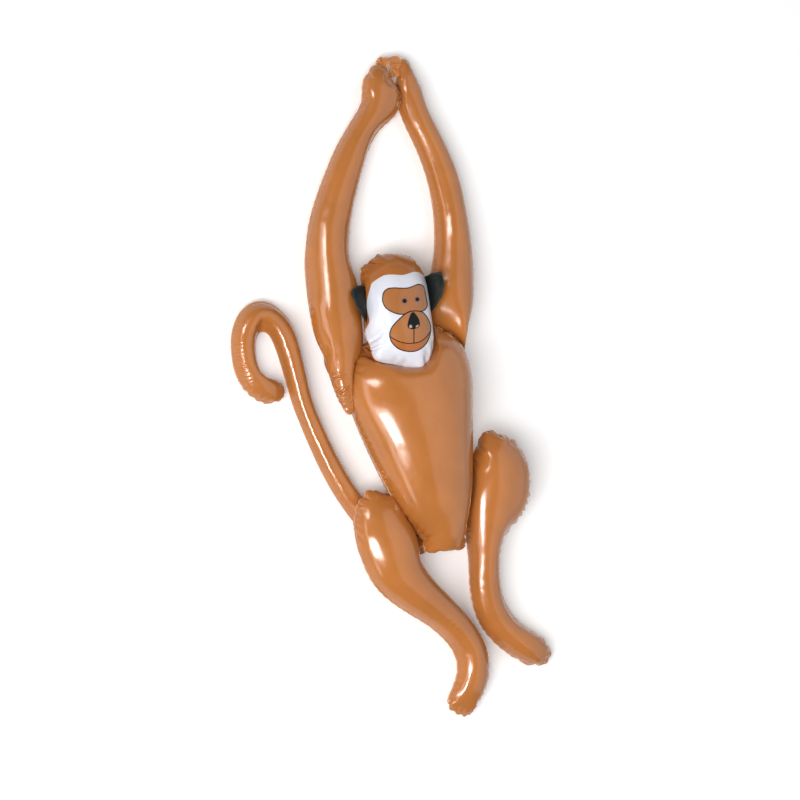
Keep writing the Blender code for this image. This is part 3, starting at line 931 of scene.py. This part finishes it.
MUZZLE = [
    (-2.8, 0.4), (-6.6, -1.6), (-11.6, -6.1), (-16, -11.1), (-17.9, -15.5), (-17.9, -19), (-16.7, -22.5),
    (-13.5, -26.3), (-9.1, -28.8), (-3.4, -29.9), (2.3, -29.3), (7.3, -26.3), (11.1, -21.2), (13, -14.9),
    (13, -9.8), (11.1, -4.8), (8, -0.7), (5.4, 0.6), (1, 1),
]
NOSE = [
    (-0.5, 0.1), (-2.1, -1.2), (-3, -3.3), (-3.8, -5.8), (-4.4, -8.3), (-4.6, -10.2), (-4.4, -11.5),
    (-3.4, -12.4), (-1.9, -12.9), (-0.2, -13), (1.6, -12.5), (3.4, -11.6), (4.5, -10.4), (4.9, -8.9),
    (4.6, -7), (3.9, -4.8), (2.7, -2.8), (1.3, -1), (0.4, -0.1),
]
MOUTH = [(-24, -12), (-19.2, -17.4), (-14.1, -20.9), (-9.7, -22.8), (-4.7, -23.7), (0.4, -23.5), (5.4, -22.2),
         (9.8, -18.7), (13.3, -13.6), (16, -8)]
EYES, EYE_RADII = [(-6.8, 8.6), (2.9, 10.0)], [1.75, 1.6]
NOSTRILS = [[(-2.4, -9.4), (-3.3, -10.9), (-3, -11.9), (-1.6, -12), (-0.9, -11.3), (-1.5, -10.2)],
            [(3.7, -9.4), (3.6, -10.8), (2.4, -11.5), (1.4, -11.9), (1.6, -11), (2.6, -9.9)]]
LIP_LINE = (0.3, -12.7, -23.4)      # u, and v at its top and bottom
TURNS_AWAY = 17.0                   # past this x the head turns from the view, and no feature is printed


def smooth_outline(points, steps=24):
    """A closed smooth curve through the points."""
    p = np.array(points, float)
    slope = 0.5 * (np.roll(p, -1, axis=0) - np.roll(p, 1, axis=0))
    closed = [np.vstack([values, values[:1]]) for values in (p, slope)]
    return smooth_curve(np.arange(len(p) + 1), *closed, np.arange(len(p) * steps) / steps)


def signed_gap(points, outline):
    """Distance to a closed outline, positive inside it."""
    curve = smooth_outline(outline)
    return nearest(points, curve)[1] * np.where(inside(points, curve[::4]), 1, -1)


def face_facts(x):
    """Where each point of the head is on the printed face: across, up, and from each outline."""
    u, v = (x - FACE_AT) @ np.array(right), (x - FACE_AT) @ np.array(up)
    points = np.stack([u, v], 1)
    facts = {"face_u": u, "face_v": v, "panel": signed_gap(points, PANEL)}
    mouth = np.array(MOUTH, float)
    curve = np.linspace(mouth[0, 0], mouth[-1, 0], 300)
    slope = np.gradient(mouth[:, 1], mouth[:, 0])[:, None]
    curve = np.stack([curve, smooth_curve(mouth[:, 0], mouth[:, 1:], slope, curve)[:, 0]], 1)
    facts["nostrils"] = np.maximum(*[signed_gap(points, outline) for outline in NOSTRILS])
    facts["mouth"] = nearest(points, curve)[1] * np.sign(v - np.interp(u, *curve.T) + 1e-9)
    points[:, 0] += 0.15 * np.maximum(x[:, 0] - TURNS_AWAY, 0) ** 2
    for fact, outline in (("mask", MASK), ("muzzle", MUZZLE), ("nose", NOSE)):
        facts[fact] = signed_gap(points, outline)
    return facts


# ---- The pieces

RIPPLED = 2.2                       # the weld is this much longer than a chamber's middle line
# The creases pressed into each chamber: the points of a line, its depth, and its width.
CREASES = {
    "head": [([(-35, 31, 49), (-32.3, 33, 51.6), (-29.6, 33.9, 55.5), (-26.5, 34.8, 57.5)], 0.9, 0.7)],
    "torso": [([(28, 43, 39), (26.2, 40, 40.2), (24.5, 36.5, 41.5)], 0.9, 0.8)],
    "right_arm": [
        ([(-64, 18.3, 41), (-58.4, 16.9, 45.4), (-54, 16.5, 46), (-47.5, 16.1, 43)], 1.8, 0.8),
        ([(-64, 3, 36), (-59.4, 4.1, 41.3), (-55.8, 6.8, 42.8), (-50.5, 8.6, 43)], 2.3, 0.9),
        ([(-58.4, 2.2, 41), (-54.8, -5.2, 39.6), (-51.5, -12, 37)], -0.8, 0.7),
        ([(-53, 7.3, 43.9), (-51.5, -1, 41), (-51.5, -8, 38)], 0.9, 0.6),
        ([(6, 242.5, 17.5), (10.3, 241.6, 21), (14, 241.6, 21.8)], 0.35, 0.8),
        ([(29, 230, 22), (33, 225.6, 17.5), (36, 222, 15)], 0.7, 0.9),
    ],
    "left_arm": [
        ([(42.2, 250.5, 14), (39, 244, 16), (37.5, 238, 16.5)], 0.6, 0.7),
        ([(43.2, 243, 18), (43.9, 242.6, 18)], 1.2, 0.5),
    ],
    "right_leg": [([(3.5 + 2.3 * k, -177 - 4.2 * k, 35.6 - 1.6 * k),
                    (8 + 2.3 * k, -175.5 - 4.2 * k, 34 - 1.6 * k)], 0.35, 0.7) for k in range(6)],
    "tail": [([(x, 52 - 2.9 * k, z) for x, z in ((-130.5, 11), (-126.5, 17.5), (-120, 19.5))], 0.45, 0.55)
             for k in range(11)],
}
DIMPLE = (26.3, 239.2)              # a round weld in the right hand


def dimple(x):
    """The round spot where both sheets of the hand are pressed together."""
    far = np.hypot(x[:, 0] - DIMPLE[0], x[:, 1] - DIMPLE[1])
    lift = 0.2 * np.exp(-((far - 7.8) / 1.5) ** 2) - 2.1 * ramp(-far, -7.6, -3.6)
    return x + np.outer(np.where(x[:, 2] > 13, lift, 0), (0.12, 0, 1))


MATERIALS = {"vinyl": vinyl_material(), "face_vinyl": face_material(), "ear_vinyl": ear_material()}


def finished(piece, name, slot):
    """The piece stands for the CAD node of this name and takes the slot's material."""
    piece.data.materials.append(MATERIALS[slot])
    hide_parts(name)
    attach(piece, "root")


for name in CHAMBERS:
    x, faces, facts = make_chamber(name)
    if name == "right_arm":
        x = dimple(x)
    stop_at_floor(x)
    if name == "head":
        facts.update(face_facts(x))
    piece = mesh_object(name + "_film", x, faces, facts)
    finished(piece, name, "face_vinyl" if name == "head" else "vinyl")


def flat_mesh(outline, holes, spacing, rng):
    """Triangles over a flat outline with holes, and each point's distance to the nearest edge."""
    loops = [resample(loop, spacing) for loop in [outline] + holes]
    fill = lattice(outline.min(0), outline.max(0), spacing, rng)
    fill = fill[inside(fill, loops[0])]
    fill = fill[nearest(fill, np.vstack(loops))[1] > 0.7 * spacing]
    points = np.vstack(loops + [fill])
    starts = np.cumsum([0] + [len(loop) for loop in loops]).tolist()
    faces = triangulate(points, [(start, len(loop)) for start, loop in zip(starts, loops)])
    centres = points[faces].mean(1)
    keep = inside(centres, loops[0])
    for hole in loops[1:]:
        keep &= ~inside(centres, hole)
    return points, faces[keep], nearest(points, np.vstack([resample(loop, 0.2) for loop in loops]))[1]


def two_sheets(upper, lower, faces, facts):
    """A closed shell from an upper and a lower sheet with the same triangles."""
    count = len(upper)
    sides = sides_of(faces).tolist()
    there = set(map(tuple, sides))
    rim = np.array([(a, b) for a, b in sides if (b, a) not in there])
    walls = np.vstack([np.stack([rim[:, 1], rim[:, 0], rim[:, 0] + count], 1),
                       np.stack([rim[:, 1], rim[:, 0] + count, rim[:, 1] + count], 1)])
    facts = {fact: np.concatenate([values, values]) for fact, values in facts.items()}
    facts["front"] = np.concatenate([np.ones(count), -np.ones(count)])
    return np.vstack([upper, lower]), np.vstack([faces, faces[:, ::-1] + count, walls]), facts


# The ears: flat black leaves with a welded rim, lying over the arms. The outline's points are
# shares of the reach, and millimetres along the head's seam.
EAR_OUTLINE = [(-0.1, 0.5), (0.1, 0.5), (0.4, 5.5), (0.77, 14.5), (1, 23.5), (1, 28.5), (0.78, 32), (0.4, 32),
               (0.1, 30.3), (-0.1, 29.8)]
EAR_GAPE = 0.5
EARS = {
    "right_ear": {"foot": (-29, 53.5, 41), "top": (-22.5, 80.5, 33), "reach": -17.0, "lift": 12.5},
    "left_ear": {"foot": (22.4, 56, 38), "top": (25.8, 82, 29), "reach": 11.5, "lift": 14},
}


def make_ear(name, foot, top, reach, lift):
    foot, top = np.array(foot, float), np.array(top, float)
    seam = (top - foot) / np.linalg.norm(top - foot)
    outline = smooth_outline([(share * abs(reach), along) for share, along in EAR_OUTLINE], 12)
    flat, faces, gap = flat_mesh(outline, [], 0.55, np.random.default_rng(len(name)))
    share = flat[:, 0] / abs(reach)
    middle = foot + np.outer(flat[:, 1], seam)
    middle[:, 0] += reach * share
    middle[:, 2] += lift * np.sin(0.5 * math.pi * np.clip(share, -0.2, 1)) - 15 * np.maximum(share - 0.9, 0)
    middle[:, 2] += 0.35 * np.sin(flat[:, 1] * 0.55 + 2.0 * share) * ramp(share, 0.1, 0.6)
    if reach < 0:
        faces = faces[:, ::-1]
    puff = unit(area_normals(middle, faces)) * (0.22 + EAR_GAPE * ramp(gap, 1.3, 3.4))[:, None]
    facts = {"weld": gap, "along": flat[:, 0], "athwart": flat[:, 1]}
    x, faces, facts = two_sheets(middle + puff, middle - puff, faces, facts)
    finished(mesh_object(name + "_leaf", x, faces, facts), name, "ear_vinyl")


for name, ear in EARS.items():
    make_ear(name, **ear)

# The hanging tab: a web of welded sheet between the fingertips, with a slot for a cord and a
# raised weld beyond it.
TAB_OUTLINE = [
    (20, 243), (28, 241.5), (37, 243), (40.5, 248), (41, 252.5), (39.6, 256.3), (36, 258.3), (32.5, 257.9),
    (29.4, 257.4), (26.5, 258.2), (23.6, 258.7), (21, 257.4), (19.4, 254.6), (19.2, 249),
]
SLOT = [(27.6, 246.2), (28.5, 245.8), (29.4, 246.2), (29.7, 249.5), (29.9, 252.6), (29.3, 253.1),
        (28.4, 252.9), (27.9, 250)]
PAD_MIDDLE, PAD_SIZE = (29.6, 255.0), (5.0, 2.8)


def make_tab():
    outline, slot = smooth_outline(TAB_OUTLINE, 12), smooth_outline(SLOT, 12)
    flat, faces, gap = flat_mesh(outline, [slot], 0.4, np.random.default_rng(3))
    across, along = (flat - TAB_DRAWN_AT).T
    pad = ramp(-np.maximum(np.abs(flat[:, 0] - PAD_MIDDLE[0]) - PAD_SIZE[0] / 2,
                           np.abs(flat[:, 1] - PAD_MIDDLE[1]) - PAD_SIZE[1] / 2), -0.25, 0.25)
    turn = np.arctan2(along, across)
    far = np.hypot(across, along)
    folds = 0.45 * np.cos(9 * turn + 0.5 * far) * ramp(far, 2.0, 5.0) * (1 - pad)
    folds += 0.9 * np.exp(-((np.hypot(across + 7.5, along - 6.3) - 1.4) / 0.8) ** 2) * (1 - pad)
    folds -= 0.5 * np.exp(-((across - 7.6) / 0.9) ** 2) * ramp(-along, -5, -1)
    edge = 0.3 * ramp(-gap, -0.9, -0.2)
    upper = np.column_stack([flat, 11.9 + folds + edge + 0.45 * pad])
    lower = np.column_stack([flat, 11.2 + 0.8 * folds - 0.5 * edge])
    facts = {"weld": gap - 0.9, "along": flat[:, 0], "athwart": flat[:, 1]}
    x, faces, facts = two_sheets(upper, lower, faces, facts)
    finished(mesh_object("hanging_tab_web", x, faces, facts), "hanging_tab", "vinyl")


make_tab()

# The valve: a disc welded to the sheet, a short stem, and a plug on a strap pushed into it.
VALVE_PLACE, VALVE_TILT = (8.5, -90.0, 9.5), math.radians(11)
VALVE_PROFILE = [(0, 2.6), (1.2, 2.6), (2.3, 2.4), (2.7, 2.0), (2.7, 1.6), (3.6, 1.5), (4.4, 1.7), (4.7, 1.4),
                 (4.5, 0.9), (3.9, 0.5), (4.0, 0.1), (4.6, -0.3), (6.0, -0.6), (6.9, -0.8), (7.1, -1.1),
                 (6.9, -1.4), (5.0, -2.2), (0, -2.6)]          # radius, height out from the skin
RINGS, TURNS = 60, 48


def make_valve():
    profile = np.array(VALVE_PROFILE)
    place = lengths_along(profile)
    radius, height = [np.interp(np.linspace(0, place[-1], RINGS), place, column) for column in profile.T]
    radius[0] = radius[-1] = 0.02
    angle = np.linspace(0, 2 * math.pi, TURNS, endpoint=False)
    knurled = ((radius > 5.4) & (radius < 6.8))[:, None]
    wide = radius[:, None] * (1 + 0.012 * np.cos(12 * angle) * knurled)
    points = np.stack([wide * np.cos(angle), wide * np.sin(angle), -np.outer(height, np.ones(TURNS))], -1)
    strap = (points[..., 1] > 2) & (np.abs(points[..., 0]) < 1.3) & (points[..., 2] < 0.9)
    points[..., 2] -= 0.5 * strap
    out = points.reshape(-1, 3) @ np.array(Matrix.Rotation(VALVE_TILT, 3, "X")).T
    here = np.arange(RINGS * TURNS).reshape(RINGS, TURNS)
    after = np.roll(here, -1, axis=1)
    tip, end = here.size, here.size + 1
    out = np.vstack([out, out[here[0]].mean(0), out[here[-1]].mean(0)])
    strips = [(here[:-1], here[1:], after[:-1]), (after[:-1], here[1:], after[1:]),
              (np.full(TURNS, tip), here[0], after[0]), (np.full(TURNS, end), after[-1], here[-1])]
    faces = np.vstack([np.stack(corners, -1).reshape(-1, 3) for corners in strips])
    if np.sum(area_normals(out, faces) * out) < 0:
        faces = faces[:, ::-1]
    x = out + np.array(VALVE_PLACE)
    facts = {"weld": np.full(len(x), 4.0), "front": -np.ones(len(x)), "along": x[:, 0], "athwart": x[:, 1]}
    finished(mesh_object("valve_turned", x, faces, facts), "valve", "vinyl")


make_valve()

# ---- Floor, light and camera

DISTANCE, LENS = 2.6, 152
AIM = Vector((0.0118, -0.0066, -0.0123))      # what the camera looks at, from the box's middle
floor_mesh = bpy.data.meshes.new("floor")
floor_mesh.from_pydata([(-6, -6, 0), (6, -6, 0), (6, 6, 0), (-6, 6, 0)], [], [(0, 1, 2, 3)])
floor = add_object("floor", floor_mesh)
paint = Paint("floor")
for socket, value in (("Base Color", (0.90, 0.90, 0.90)), ("Emission Color", (1, 1, 1)),
                      ("Emission Strength", 0.14), ("Roughness", 0.95), ("Specular IOR Level", 0.0)):
    paint.set(socket, value)
floor_mesh.materials.append(paint.material)

camera = add_object("camera", bpy.data.cameras.new("camera"))
camera.data.lens, camera.data.sensor_width = LENS, 36
camera.data.clip_end = 30
place = (cad_box[0] + cad_box[1]) / 2 + AIM - DISTANCE * look
camera.matrix_world = Matrix((
    (right.x, up.x, -look.x, place.x), (right.y, up.y, -look.y, place.y),
    (right.z, up.z, -look.z, place.z), (0, 0, 0, 1)))
bpy.context.scene.camera = camera

world = bpy.data.worlds.new("studio")
bpy.context.scene.world = world
world.use_nodes = True
background = world.node_tree.nodes["Background"]
background.inputs["Color"].default_value = (1, 1, 1, 1)
background.inputs["Strength"].default_value = 0.22
bpy.context.scene.view_settings.view_transform = "Standard"

# The lights: place, size, radiance, and whether it lights the surfaces or is only mirrored in them.
LIGHTS = {
    "key": ((-1.35, -0.4, 1.9), (1.0, 1.4), 13.187, True),
    "fill": ((0.8, 0.4, 2.3), (1.8, 1.8), 1.179, True),
    "card_right": ((1.3, 0, 1.3), (4.0, 3.4), 1.15, False),
    "window": ((-0.92, -0.34, 0.84), (0.34, 0.46), 45, False),
    "strip_left": ((-0.92, 0.74, 0.78), (0.26, 0.44), 22, False),
    "strip_long": ((-1.25, 0.0, 0.52), (2.4, 0.30), 4.5, False),
}
for name, (place, size, radiance, lights) in LIGHTS.items():
    lamp = bpy.data.lights.new(name, "AREA")
    lamp.shape = "RECTANGLE"
    lamp.size, lamp.size_y = size
    lamp.energy = math.pi * size[0] * size[1] * radiance
    thing = add_object(name, lamp)
    thing.location = place
    thing.rotation_euler = (Vector(place) - Vector((0, 0, 0.03))).to_track_quat("Z", "Y").to_euler()
    thing.visible_diffuse, thing.visible_glossy = lights, not lights
